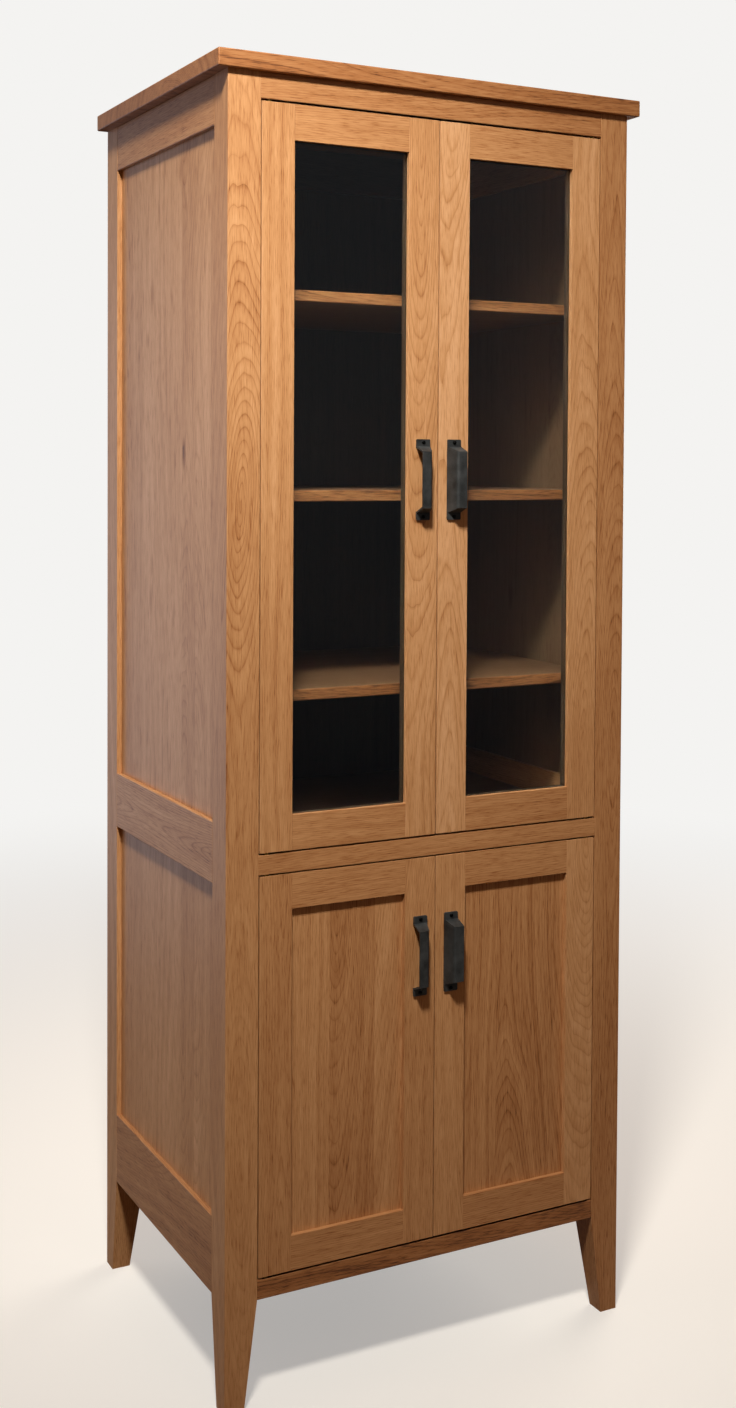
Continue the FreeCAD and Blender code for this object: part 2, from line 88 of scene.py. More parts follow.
# elm, sawn into boards, planed and rubbed with clear satin oil. Fine pores run along the board, and the
# yearly rings show as thin brown lines, straight on a board from the log's side and arched near its heart
elm = {
    "pale": "#deae84",
    "honey": "#c49162",
    "brown": "#9c6438",
    "dark": "#5a3117",
    "colourStops": (0.25, 0.50, 0.82, 1.0),
    "ringGap": 0.0032,        # m between yearly rings
    "season": [(0.0, 0.95), (0.05, 0.45), (0.14, 0.06), (0.45, 0.0), (0.80, 0.20), (0.94, 0.62), (1.0, 0.95)],
    "faintYear": 0.25,        # the faintest ring line, where the strongest has 1
    "yearPace": 0.31,         # turns from fat to lean years, per ring
    "fibre": (0.0013, 0.024), # m, a pore's width and length, wider than the real 0.2 mm so that it shows
    "poreRange": (0.54, 0.70),
    "band": (0.013, 0.6),     # m, soft streaks of tone along a board
    "cloud": 1.3,             # patches of tone, per bend of a ring
    "wobble": 0.027,          # m, how far the rings wander
    "wander": (0.11, 0.55),   # m, across and along, from one bend of a ring to the next
    "ripple": (0.020, 0.15),  # m, the same for the small waves in a ring
    "rippleDepth": 1.2,       # in ring gaps
    "swell": (0.050, 2.9),    # m and radians per m, the slow bow of the log
    "quietRings": 0.35,       # what is left of the rings in a quiet stretch
    "boardShift": 0.37,       # m along the log from one board to the next
    "staveShift": (0.10, 0.05, 3.0),    # m from one stave's log to another's
    "staveRandom": 0.6,       # how uneven the staves' widths are
    "layers": {"fibre": 0.42, "pores": 0.14, "streak": 0.22, "cloud": 0.18},
    "roughness": 0.42,
    "roughSpread": 0.16,
    "relief": (0.10, 0.0004), # strength, and depth in m
    "oil": (0.12, 0.34),      # weight and roughness of its film
    "ior": 1.48,
}

# pin knots, and the dark veins that run through them
knots = {
    "gap": (0.15, 0.42),      # m between knots, across and along
    "edge": (0.01, 0.07),     # from full dark to clear, as a share of the gap
    "rarity": 1.6,            # the higher, the fewer dark ones
    "vein": (150.0, 150.0, 4.5),    # per m
    "veinRange": (0.60, 0.74),
    "veinStrength": 0.4,
}

# where the middle of the log lies, across the board and behind its face in m, and its lean in degrees
cuts = {
    "arched": {"heart": (0.002, 0.036), "lean": 0.5},
    "flat": {"heart": (0.008, 0.045), "lean": 1.5},
    "rift": {"heart": (0.080, 0.070), "lean": 1.5},
    "quarter": {"heart": (0.140, 0.020), "lean": 0.8},
}

# painted shade: a dark brown stain on the boards inside the case stands for the shade in there; the same
# grain shows through, but only just
insideShade = {
    "light": ("#95785d", "#77543a"),
    "dark": ("#4c4037", "#2b241f"),
    "stops": (0.3, 0.9),
    "lipping": 0.007,         # m, the strip along a shelf's front edge that is left clear of the painted shade
    "skin": 0.001,            # m, how far in front of the beads their painted shade starts
}


def elmMaterial(name, low, high, look):
    grain, face = look["axes"]
    seed = look["seed"]
    cut = cuts[look["cut"]]
    material, tree = newMaterial("oiledElm_" + name)

    # the board is turned so that Z runs along its grain, Y goes in behind its face and the heart is at 0
    along = Vector([float(i == grain) for i in range(3)])
    deep = Vector([float(i == face) for i in range(3)])
    lean = Matrix.Rotation(radians(cut["lean"]) * (-1) ** seed, 3, "X")
    turned = lean @ Matrix((deep.cross(along), deep, along))
    heart = Vector((cut["heart"][0] * (-1) ** (seed // 2), cut["heart"][1], look["slide"]))
    here = addNode(tree, "ShaderNodeTexCoord").outputs["Object"]
    log = addNode(tree, "ShaderNodeMapping", {
        "Vector": here, "Location": heart - turned @ ((low + high) / 2), "Rotation": turned.to_euler()})
    shade = look["tone"]

    if look["staves"]:     # a panel is glued up from staves, each out of another log
        across = addNode(tree, "ShaderNodeSeparateXYZ", {0: log})
        stave = addNode(tree, "ShaderNodeTexVoronoi", {
            "W": across, "Scale": 1 / look["staves"], "Randomness": elm["staveRandom"]},
            voronoi_dimensions="1D").outputs["Color"]
        other = addNode(tree, "ShaderNodeVectorMath", {0: stave, 1: (0.5, 0.5, 0.5)}, operation="SUBTRACT")
        log = addNode(tree, "ShaderNodeVectorMath", {0: other, 1: elm["staveShift"], 2: log},
                      operation="MULTIPLY_ADD")
        own = addNode(tree, "ShaderNodeSeparateXYZ", {0: other})
        shade = addNode(tree, "ShaderNodeMath", {0: own, 1: look["staveTone"], 2: look["tone"]},
                        operation="MULTIPLY_ADD")

    # the log isn't straight: it bows slowly, and each ring wanders a little
    acrossGap, alongGap = elm["wander"]
    slow = addNode(tree, "ShaderNodeMapping", {
        "Vector": log, "Scale": (1 / acrossGap, 1 / acrossGap, 1 / alongGap)})
    drift = addNode(tree, "ShaderNodeTexNoise", {
        "Vector": slow, "Scale": 1.0, "Detail": 2.0}).outputs["Color"]
    bow, turns = elm["swell"]
    height = addNode(tree, "ShaderNodeSeparateXYZ", {0: log}).outputs[2]
    angle = addNode(tree, "ShaderNodeMath", {0: height, 1: turns}, operation="MULTIPLY")
    wave = addNode(tree, "ShaderNodeMath", {0: angle}, operation="SINE")
    swell = addNode(tree, "ShaderNodeMath", {0: wave, 1: bow * look["swell"]}, operation="MULTIPLY")
    offset = addNode(tree, "ShaderNodeCombineXYZ", {1: swell})
    bowed = addNode(tree, "ShaderNodeVectorMath", {0: log, 1: offset}, operation="ADD")
    centred = addNode(tree, "ShaderNodeVectorMath", {0: drift, 1: (0.5, 0.5, 0.5)}, operation="SUBTRACT")
    bent = addNode(tree, "ShaderNodeVectorMath", {
        0: centred, 1: (elm["wobble"], elm["wobble"], 0.0), 2: bowed}, operation="MULTIPLY_ADD")

    # the rings: a thin dark line where each year ends, and slower bands of fat and lean years
    section = addNode(tree, "ShaderNodeVectorMath", {0: bent, 1: (1.0, 1.0, 0.0)}, operation="MULTIPLY")
    radius = addNode(tree, "ShaderNodeVectorMath", {0: section}, operation="LENGTH").outputs["Value"]
    acrossGap, alongGap = elm["ripple"]
    small = addNode(tree, "ShaderNodeMapping", {
        "Vector": log, "Scale": (1 / acrossGap, 1 / acrossGap, 1 / alongGap)})
    ripple = addNode(tree, "ShaderNodeTexNoise", {"Vector": small, "Scale": 1.0, "Detail": 1.5})
    rippled = addNode(tree, "ShaderNodeMath", {0: ripple, 1: elm["rippleDepth"]}, operation="MULTIPLY")
    count = addNode(tree, "ShaderNodeMath", {0: radius, 1: 1 / elm["ringGap"], 2: rippled},
                    operation="MULTIPLY_ADD")
    year = addNode(tree, "ShaderNodeMath", {0: count}, operation="FLOOR")
    ownStrength = addNode(tree, "ShaderNodeTexWhiteNoise", {"W": year}, noise_dimensions="1D")
    part = addNode(tree, "ShaderNodeMath", {0: count}, operation="FRACT")
    season = addNode(tree, "ShaderNodeValToRGB", {0: part}, stops=elm["season"])
    weight = addNode(tree, "ShaderNodeMath", {
        0: ownStrength.outputs["Value"], 1: 1 - elm["faintYear"], 2: elm["faintYear"]},
        operation="MULTIPLY_ADD")
    ringLine = addNode(tree, "ShaderNodeMath", {0: season, 1: weight}, operation="MULTIPLY")
    if look["quiet"]:      # between these heights in m the rings grow from faint to full
        faint, full = look["quiet"]
        up = addNode(tree, "ShaderNodeSeparateXYZ", {0: here}).outputs[2]
        grown = addNode(tree, "ShaderNodeMapRange", {
            "Value": up, "From Min": faint, "From Max": full, "To Min": elm["quietRings"], "To Max": 1.0})
        ringLine = addNode(tree, "ShaderNodeMath", {0: ringLine, 1: grown}, operation="MULTIPLY")
    slowCount = addNode(tree, "ShaderNodeMath", {0: count, 1: elm["yearPace"]}, operation="MULTIPLY")
    fatYears = addNode(tree, "ShaderNodeTexNoise", {"W": slowCount, "Scale": 1.0, "Detail": 2.0},
                       noise_dimensions="1D")

    wide, long = elm["fibre"]
    fine = addNode(tree, "ShaderNodeMapping", {"Vector": log, "Scale": (1 / wide, 1 / wide, 1 / long)})
    fibre = addNode(tree, "ShaderNodeTexNoise", {
        "Vector": fine, "Scale": 1.0, "Detail": 3.0, "Roughness": 0.6})
    start, end = elm["poreRange"]
    pores = addNode(tree, "ShaderNodeMapRange", {"Value": fibre, "From Min": start, "From Max": end})
    wide, long = elm["band"]
    soft = addNode(tree, "ShaderNodeMapping", {"Vector": bent, "Scale": (1 / wide, 1 / wide, 1 / long)})
    streak = addNode(tree, "ShaderNodeTexNoise", {"Vector": soft, "Scale": 1.0, "Detail": 2.0})
    cloud = addNode(tree, "ShaderNodeTexNoise", {"Vector": slow, "Scale": elm["cloud"], "Detail": 1.0})

    # every layer darkens one number, and the ramp turns that into the colour of the wood
    amounts = elm["layers"]
    layers = [(ringLine, look["rings"]), (fatYears, look["bands"]), (fibre, amounts["fibre"]),
              (pores, amounts["pores"]), (streak, amounts["streak"]), (cloud, amounts["cloud"])]
    if look["knots"]:
        apart = addNode(tree, "ShaderNodeSeparateXYZ", {0: bent}).outputs
        flatPlace = addNode(tree, "ShaderNodeCombineXYZ", {0: apart[0], 1: apart[2]})
        acrossGap, alongGap = knots["gap"]
        spread = addNode(tree, "ShaderNodeMapping", {
            "Vector": flatPlace, "Scale": (1 / acrossGap, 1 / alongGap, 1.0)})
        spots = addNode(tree, "ShaderNodeTexVoronoi", {"Vector": spread, "Scale": 1.0},
                        voronoi_dimensions="2D").outputs
        start, end = knots["edge"]
        knot = addNode(tree, "ShaderNodeMapRange", {
            "Value": spots["Distance"], "From Min": start, "From Max": end, "To Min": 1.0, "To Max": 0.0})
        chance = addNode(tree, "ShaderNodeSeparateXYZ", {0: spots["Color"]})
        rare = addNode(tree, "ShaderNodeMath", {0: chance, 1: knots["rarity"]}, operation="POWER")
        rareKnot = addNode(tree, "ShaderNodeMath", {0: knot, 1: rare}, operation="MULTIPLY")
        thin = addNode(tree, "ShaderNodeMapping", {"Vector": bent, "Scale": knots["vein"]})
        vein = addNode(tree, "ShaderNodeTexNoise", {"Vector": thin, "Scale": 1.0, "Detail": 1.0})
        start, end = knots["veinRange"]
        darkVein = addNode(tree, "ShaderNodeMapRange", {"Value": vein, "From Min": start, "From Max": end})
        layers += [(rareKnot, look["knots"]), (darkVein, knots["veinStrength"] * look["knots"])]
    for layer, amount in layers:
        shade = addNode(tree, "ShaderNodeMath", {0: layer, 1: amount, 2: shade}, operation="MULTIPLY_ADD")
    colours = (elm["pale"], elm["honey"], elm["brown"], elm["dark"])
    colour = addNode(tree, "ShaderNodeValToRGB", {0: shade}, stops=list(zip(elm["colourStops"], colours)))

    if look["stained"]:    # painted shade, as a brown stain beyond this place along this axis, on the low or the high side of it
        axis, edge, side, kind = look["stained"]
        place = addNode(tree, "ShaderNodeSeparateXYZ", {0: here}).outputs[axis]
        inside = addNode(tree, "ShaderNodeMath", {0: place, 1: edge},
                         operation="GREATER_THAN" if side > 0 else "LESS_THAN")
        stops = list(zip(insideShade["stops"], insideShade[kind]))
        paintedShadeColour = addNode(tree, "ShaderNodeValToRGB", {0: shade}, stops=stops)
        colour = addNode(tree, "ShaderNodeMix", {0: inside, 6: colour, 7: paintedShadeColour},
                         data_type="RGBA").outputs[2]

    smoothest = elm["roughness"] - elm["roughSpread"] / 2
    rough = addNode(tree, "ShaderNodeMath", {0: shade, 1: elm["roughSpread"], 2: smoothest},
                    operation="MULTIPLY_ADD")
    strength, depth = elm["relief"]
    bump = addNode(tree, "ShaderNodeBump", {"Height": fibre, "Strength": strength, "Distance": depth})
    shader = addNode(tree, "ShaderNodeBsdfPrincipled", {
        "Base Color": colour, "Roughness": rough, "Normal": bump,
        "Coat Weight": elm["oil"][0], "Coat Roughness": elm["oil"][1], "IOR": elm["ior"]})
    addNode(tree, "ShaderNodeOutputMaterial", {"Surface": shader})
    return material


# the boards, by the words in their names: the cut, the tone and what else a board has
boards = {
    "front_left_post": {"cut": "arched", "tone": -0.02, "rings": 0.31, "bands": 0.30, "slide": -0.45,
                        "quiet": (0.70, 1.05)},
    # the right post's darker tone is partly painted shade, for the light falling off towards the lower right
    "front_right_post": {"cut": "flat", "tone": 0.12, "rings": 0.24, "swell": 0.5},
    "post": {"cut": "rift", "tone": 0.0},
    "slab": {"cut": "rift", "tone": 0.24},
    "left_middle_rail": {"cut": "arched", "rings": 0.34, "bands": 0.25},
    "left_bottom_rail": {"cut": "rift", "tone": 0.15},
    "right_middle_rail": {"cut": "flat"},
    "upper_left_hinge_stile": {"cut": "quarter", "tone": 0.01},
    "lower_left_hinge_stile": {"cut": "flat", "tone": 0.07},
    "upper_right_latch_stile": {"cut": "flat", "tone": -0.09, "rings": 0.30, "slide": 0.3,
                                "swell": 0.45},
    "upper_left_latch_stile": {"cut": "flat", "tone": -0.02, "rings": 0.32, "slide": 0.9,
                               "swell": 0.45},
    "upper_right_hinge_stile": {"cut": "flat", "tone": -0.03, "rings": 0.28, "slide": 0.1,
                                "swell": 0.45},
    "lower_right_hinge_stile": {"cut": "flat", "tone": -0.05},
    "lower_left_latch_stile": {"cut": "rift", "tone": 0.05},
    "latch_stile": {"cut": "rift", "tone": 0.0},
    "lower_left_door_rails": {"cut": "rift", "tone": 0.09},
    "lower_right_door_rails": {"cut": "rift", "tone": 0.08},
    "upper_right_door_rails": {"cut": "rift", "tone": 0.08},
    "upper_left_door_rails": {"cut": "rift", "tone": 0.06},
    "lower_left_door_panel": {"cut": "flat", "swell": 0.5, "staves": 0.075, "staveTone": 0.24, "tone": 0.06,
                              "rings": 0.20, "bands": 0.30},
    "lower_right_door_panel": {"cut": "arched", "staves": 0.105, "staveTone": 0.08, "tone": -0.02,
                               "rings": 0.26, "bands": 0.46},
    "upper_panel": {"cut": "rift", "staves": 0.055, "staveTone": 0.16, "knots": 0.45},
    "lower_panel": {"cut": "rift", "staves": 0.055, "staveTone": 0.16, "knots": 0.30},
    "back_panel": {"cut": "flat", "staves": 0.11, "staveTone": 0.10},
    "front_bottom_rail": {"cut": "rift", "tone": 0.30},
    "left_top_rail": {"cut": "rift", "tone": 0.08},
    "front_middle_rail": {"cut": "rift", "tone": 0.11},
    "front_top_rail": {"cut": "rift", "tone": 0.15},
    "rail": {"cut": "rift"},
    "deck": {"cut": "rift"},
    # the shelves' darker tones are partly painted shade, for the dim light on their front edges inside the
    # case
    "high_shelf": {"cut": "rift", "tone": 0.25},
    "middle_shelf": {"cut": "rift", "tone": 0.28},
    "shelf": {"cut": "rift", "tone": 0.28},
    "beads": {"cut": "quarter"},
}
plainBoard = {
    "tone": 0.0,
    "rings": 0.22,
    "bands": 0.20,
    "swell": 1.0,
    "staves": 0.0,
    "staveTone": 0.0,
    "knots": 0.0,
    "stained": None,
    "quiet": None,
}
woodSlots = {"frame_wood", "slab_wood", "panel_wood", "inner_wood"}


def boardLook(name, seed):
    low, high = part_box(name)
    size = high - low
    look = dict(plainBoard)
    look.update(next(boards[words] for words in boards if words in name))
    look["seed"] = seed
    look.setdefault("slide", elm["boardShift"] * seed)
    order = sorted(range(3), key=lambda axis: size[axis])
    upright = any(words in name for words in ("post", "stile", "panel", "beads"))
    face = order[0]
    if "post" in name or "stile" in name or "door_rails" in name:
        face = 1
    look["axes"] = (2 if upright else 0 if "door_rails" in name else order[2], face)
    middle = (low + high) / 2
    # painted shade: the inner faces of the side panels, the back boards, the beads, and the shelves and decks
    # behind their front strip get a brown stain that stands for the shade inside the case
    if name.startswith(("left_", "right_")) and "panel" in name:
        look["stained"] = (0, middle.x, -1 if middle.x > 0 else 1, "light")
    elif name.startswith("back_") and "post" not in name:
        look["stained"] = (1, middle.y, -1, "dark")
    elif "beads" in name:
        look["stained"] = (1, low.y - insideShade["skin"], 1, "dark")
    elif "shelf" in name or "deck" in name:
        look["stained"] = (1, low.y + insideShade["lipping"], 1, "light")
    return look


def deselectAll():
    if bpy.context.object and bpy.context.object.mode == "EDIT":
        bpy.ops.object.mode_set(mode="OBJECT")
    bpy.ops.object.select_all(action="DESELECT")


easing = {
    "boards": 0.0013,         # m, the width of a board's eased edge
    "shortest": 0.012,        # m, a shorter edge stays sharp
    "sharp": 40,              # degrees, a blunter edge isn't eased
    "flat": 0.5,              # degrees, faces closer than this are joined into one
    "doubles": 0.00001,       # m, corners closer than this are one
}


# a new piece from a part's shape, merged into one closed skin with whole flat faces
def startFrom(name, pieceName):
    deselectAll()
    piece = bpy.data.objects.new(pieceName, frame["nodes"][name].data.copy())
    bpy.context.scene.collection.objects.link(piece)
    piece.select_set(True)
    bpy.context.view_layer.objects.active = piece
    bpy.ops.object.mode_set(mode="EDIT")
    bpy.ops.mesh.select_all(action="SELECT")
    bpy.ops.mesh.remove_doubles(threshold=easing["doubles"])
    bpy.ops.mesh.dissolve_limited(angle_limit=radians(easing["flat"]))
    bpy.ops.object.mode_set(mode="OBJECT")
    return piece


# rounds every sharp edge that is longer than shortest
def easeEdges(piece, width, shortest, segments=2):
    bpy.ops.object.mode_set(mode="EDIT")
    bpy.ops.mesh.select_all(action="DESELECT")
    bpy.ops.mesh.select_mode(type="EDGE")
    bpy.ops.mesh.edges_select_sharp(sharpness=radians(easing["sharp"]))
    bpy.ops.object.mode_set(mode="OBJECT")
    places = piece.data.vertices
    for edge in piece.data.edges:
        start, end = (places[i].co for i in edge.vertices)
        edge.select = edge.select and (start - end).length > shortest
    bpy.ops.object.mode_set(mode="EDIT")
    bpy.ops.mesh.bevel(offset=width, segments=segments, profile=0.5, clamp_overlap=True)
    bpy.ops.object.mode_set(mode="OBJECT")


# gives a finished piece its material, in the place of the part that it is drawn from
def settle(piece, name, material):
    piece.data.materials.clear()
    piece.data.materials.append(material)
    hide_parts(name)
    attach(piece, bodyOf[name])


seed = 1
for name in sorted(frame["nodes"]):
    if slotOf[name] not in woodSlots:
        continue
    seed += 1
    look = boardLook(name, seed)
    material = elmMaterial(name, *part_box(name), look)
    # the posts and the slab have their round edges already, and the beads are sawn square
    if "post" in name or "slab" in name or "beads" in name:
        frame["nodes"][name].material_slots[0].material = material
    else:
        board = startFrom(name, name + "_board")
        easeEdges(board, easing["boards"], easing["shortest"])
        settle(board, name, material)
print("boards done")


# the panes: clear float glass, 4 mm, polished flat by the melt. It lets lamps through to the shelves
pane = {
    "tint": "#f3f5f4",
    "lampTint": "#d4d8d5",
    "roughness": 0.0,
    "ior": 1.5,
    "seam": 0.0005,           # m, the width of the ground edge
    "shortest": 0.01,
}


def floatGlass():
    material, tree = newMaterial("clearFloatGlass")
    body = addNode(tree, "ShaderNodeBsdfPrincipled", {
        "Base Color": linear(pane["tint"]), "Roughness": pane["roughness"], "IOR": pane["ior"],
        "Transmission Weight": 1.0})
    lampLight = addNode(tree, "ShaderNodeBsdfTransparent", {"Color": linear(pane["lampTint"])})
    lampRay = addNode(tree, "ShaderNodeLightPath").outputs["Is Shadow Ray"]
    both = addNode(tree, "ShaderNodeMixShader", {0: lampRay, 1: body, 2: lampLight})
    addNode(tree, "ShaderNodeOutputMaterial", {"Surface": both})
    return material


glass = floatGlass()
for side in ("left", "right"):
    name = f"upper_{side}_glass"
    sheet = startFrom(name, name + "_pane")
    easeEdges(sheet, pane["seam"], pane["shortest"])
    settle(sheet, name, glass)
print("panes done")


# the pulls: grey iron cast in sand, then blackened with wax. The sand leaves a fine pitted skin, dull with a
# soft gleam
iron = {
    "black": "#282a2b",
    "worn": "#484b4d",
    "stops": (0.55, 0.95),
    "grit": 0.0011,           # m, drawn coarser than real sand so that it shows
    "gritShare": 0.5,
    "patches": 45.0,          # per m, where the wax is thick or thin
    "edge": 0.0006,           # m, the round on its edges
    "shortest": 0.003,
    "roundSteps": 3,
    "smooth": 35,             # degrees
    "smoothest": 0.38,        # roughness
    "roughSpread": 0.25,
    "relief": (0.35, 0.0004),
    "metallic": 0.35,         # the wax hides most of the metal
}


def castIron():
    material, tree = newMaterial("blackenedCastIron")
    here = addNode(tree, "ShaderNodeTexCoord").outputs["Object"]
    grit = addNode(tree, "ShaderNodeTexNoise", {
        "Vector": here, "Scale": 1 / iron["grit"], "Detail": 3.0, "Roughness": 0.6}).outputs["Fac"]
    patch = addNode(tree, "ShaderNodeTexNoise", {
        "Vector": here, "Scale": iron["patches"], "Detail": 2.0}).outputs["Fac"]
    both = addNode(tree, "ShaderNodeMath", {0: grit, 1: iron["gritShare"], 2: patch},
                   operation="MULTIPLY_ADD")
    colours = (iron["black"], iron["worn"])
    colour = addNode(tree, "ShaderNodeValToRGB", {0: both}, stops=list(zip(iron["stops"], colours)))
    rough = addNode(tree, "ShaderNodeMath", {0: patch, 1: iron["roughSpread"], 2: iron["smoothest"]},
                    operation="MULTIPLY_ADD")
    strength, depth = iron["relief"]
    bump = addNode(tree, "ShaderNodeBump", {"Height": grit, "Strength": strength, "Distance": depth})
    shader = addNode(tree, "ShaderNodeBsdfPrincipled", {
        "Base Color": colour, "Roughness": rough, "Normal": bump, "Metallic": iron["metallic"]})
    addNode(tree, "ShaderNodeOutputMaterial", {"Surface": shader})
    return material


blackIron = castIron()
for name in sorted(frame["nodes"]):
    if name.endswith("_pull"):
        casting = startFrom(name, name + "_casting")
        easeEdges(casting, iron["edge"], iron["shortest"], iron["roundSteps"])
        bpy.ops.object.shade_smooth_by_angle(angle=radians(iron["smooth"]))
        casting.modifiers.new("flatFaces", "WEIGHTED_NORMAL").keep_sharp = True
        bpy.ops.object.modifier_apply(modifier="flatFaces")
        settle(casting, name, blackIron)
print("pulls done")


# the small metal is turned or pressed, so it is smooth with a brushed gleam. The magnets' cases are moulded
# nylon, which is dull
metals = {
    "hinge_brass": {"name": "pressedBrass", "colour": "#c9a356", "dull": "#8c6a33", "roughness": 0.32},
    "support_steel": {"name": "zincPlatedSteel", "colour": "#c4c6c8", "dull": "#8f9294", "roughness": 0.30},
    "screw_steel": {"name": "blackenedSteel", "colour": "#2b2b2b", "dull": "#1b1b1b", "roughness": 0.42},
    "magnet_black": {"name": "mouldedNylon", "colour": "#1d1d1e", "dull": "#101010", "roughness": 0.55},
}
haze = {"grain": 260.0, "stops": (0.35, 0.65), "roughSpread": 0.2}     # the grain is per m


def smallMetal(finish):
    material, tree = newMaterial(finish["name"])
    here = addNode(tree, "ShaderNodeTexCoord").outputs["Object"]
    cloud = addNode(tree, "ShaderNodeTexNoise", {
        "Vector": here, "Scale": haze["grain"], "Detail": 3.0}).outputs["Fac"]
    colours = (finish["dull"], finish["colour"])
    colour = addNode(tree, "ShaderNodeValToRGB", {0: cloud}, stops=list(zip(haze["stops"], colours)))
    smoothest = finish["roughness"] - haze["roughSpread"] / 2
    rough = addNode(tree, "ShaderNodeMath", {0: cloud, 1: haze["roughSpread"], 2: smoothest},
                    operation="MULTIPLY_ADD")
    metallic = 0.0 if "Nylon" in finish["name"] else 1.0
    shader = addNode(tree, "ShaderNodeBsdfPrincipled", {
        "Base Color": colour, "Roughness": rough, "Metallic": metallic})
    addNode(tree, "ShaderNodeOutputMaterial", {"Surface": shader})
    return material


for slot, finish in metals.items():
    metal = smallMetal(finish)
    for name in frame["nodes"]:
        if slotOf[name] == slot:
            frame["nodes"][name].material_slots[0].material = metal
print("small metal done")


# the screws: steel, turned with a rounded head, sawn with one slot and blackened. Two hold each pull, and one
# in the back of each door meets the magnet. All sizes are in m
screw = {
    "radius": 0.003,
    "high": 0.0016,
    "round": 0.0012,
    "roundSteps": 5,
    "slot": 0.0008,
    "deep": 0.0008,
    "shank": 0.0015,          # radius
    "long": 0.012,
    "point": 0.3,             # width of the end, as a share of the shank
    "taper": 0.2,             # how much of the length is pointed
    "sides": 32,
    "smooth": 30,             # degrees
    "apart": 0.1105,          # the two screws of one pull
    "foot": 0.003,            # thickness of the pull's foot
    "strikeIn": 0.016,        # from the middle of the case
    "strikeDown": 0.010,      # from the top of the stile
    "turns": (35, 100, 70),   # degrees, of the top, the bottom and the strike screw's slot
    "turnMore": 20,           # degrees, more on the right and less on the left
}


# selects the faces that point nearly this way, and leaves the piece in edit mode
def selectFacing(piece, way, nearly=0.9):
    bpy.ops.object.mode_set(mode="EDIT")
    bpy.ops.mesh.select_all(action="DESELECT")
    bpy.ops.mesh.select_mode(type="FACE")
    bpy.ops.object.mode_set(mode="OBJECT")
    for face in piece.data.polygons:
        face.select = face.normal.dot(Vector(way)) > nearly
    bpy.ops.object.mode_set(mode="EDIT")


def modelScrew():
    deselectAll()
    bpy.ops.mesh.primitive_cylinder_add(vertices=screw["sides"], radius=screw["radius"], depth=screw["high"],
                                        location=(0, 0, screw["high"] / 2))
    head = bpy.context.object
    bpy.ops.object.transform_apply()
    selectFacing(head, (0, 0, 1))
    bpy.ops.mesh.bevel(offset=screw["round"], segments=screw["roundSteps"], profile=0.5)
    selectFacing(head, (0, 0, -1))
    bpy.ops.mesh.inset(thickness=screw["radius"] - screw["shank"])
    for share in (1 - screw["taper"], screw["taper"]):
        bpy.ops.mesh.extrude_region_move(TRANSFORM_OT_translate={"value": (0, 0, -share * screw["long"])})
    bpy.ops.transform.resize(value=(screw["point"], screw["point"], 1))
    deselectAll()
    bpy.ops.mesh.primitive_cube_add(size=1, location=(0, 0, screw["high"]))
    saw = bpy.context.object
    saw.scale = (screw["slot"], 3 * screw["radius"], 2 * screw["deep"])
    deselectAll()
    head.select_set(True)
    bpy.context.view_layer.objects.active = head
    cut = head.modifiers.new("slot", "BOOLEAN")
    cut.object = saw
    cut.solver = "EXACT"
    bpy.ops.object.modifier_apply(modifier="slot")
    bpy.ops.object.shade_smooth_by_angle(angle=radians(screw["smooth"]))
    bpy.data.objects.remove(saw)
    return head


# a copy of the screw with its own mesh, its head outward from this place
def placeScrew(model, name, place, outward, turn):
    deselectAll()
    piece = bpy.data.objects.new(name, model.data.copy())
    bpy.context.scene.collection.objects.link(piece)
    piece.matrix_world = (Matrix.Translation(place) @ Matrix.Rotation(-outward * radians(90), 4, "X")
                          @ Matrix.Rotation(radians(turn), 4, "Z"))
    piece.select_set(True)
    bpy.context.view_layer.objects.active = piece
    bpy.ops.object.transform_apply()
    return piece


screwModel = modelScrew()
for level in ("upper", "lower"):
    for side, sign in (("left", -1), ("right", 1)):
        start = f"{level}_{side}_"
        low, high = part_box(start + "pull")
        stileLow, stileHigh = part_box(start + "latch_stile")
        middle = (low + high) / 2
        front = stileLow.y - screw["foot"]
        strike = (sign * screw["strikeIn"], stileHigh.y, stileHigh.z - screw["strikeDown"])
        # the name, the place and which way along Y the head looks
        spots = [("pullScrewTop", (middle.x, front, middle.z + screw["apart"] / 2), -1),
                 ("pullScrewBottom", (middle.x, front, middle.z - screw["apart"] / 2), -1),
                 ("strikeScrew", strike, 1)]
        for (word, place, outward), turn in zip(spots, screw["turns"]):
            piece = placeScrew(screwModel, start + word, place, outward, turn + screw["turnMore"] * sign)
            settle(piece, start + "screws", bpy.data.materials[metals["screw_steel"]["name"]])
bpy.data.objects.remove(screwModel)
print("screws done")


# the room: a pale floor, one warm lamp high at the front left, a soft window at the back left, a weak fill
# light at the back right and dim light all round
room = {
    "key": {"place": (-1.08, -1.72, 3.45), "aim": (-0.30, -0.25, 1.58), "size": 0.38, "power": 16.3,
            "colour": "#fff9ee", "spread": 63},
    "window": {"place": (-2.3, 3.1, 0.9), "aim": (-0.34, 0.0, 0.8), "size": 3.6, "power": 27.0,
               "colour": "#e6eeff", "spread": 180},
    "fill": {"place": (3.2, 1.7, 1.9), "aim": (0.3, 0.2, 0.9), "size": 2.6, "power": 34.0,
             "colour": "#fff6ea", "spread": 120},
    "sky": 0.16,
    "skyColour": "#ffcb98",
    "mirrored": [(0.0, "#5f646c"), (0.5, "#c6cdd6"), (1.0, "#eef3fc")],    # what the glass and the gloss show
    "backdrop": "#f4f3f1",
    "floor": "#cfccc7",
    "floorGlow": 0.42,
    "floorSize": 40,
    "floorFade": (0.6, 4.0),     # m from the middle, where the floor turns into the backdrop
    "bounceFade": (1.2, 3.5),    # m from the middle, where it stops throwing light back
    "horizon": (-0.35, 0.45),
    "bounce": "#553b26",
    "mirroredFloor": "#a8a29c",
}


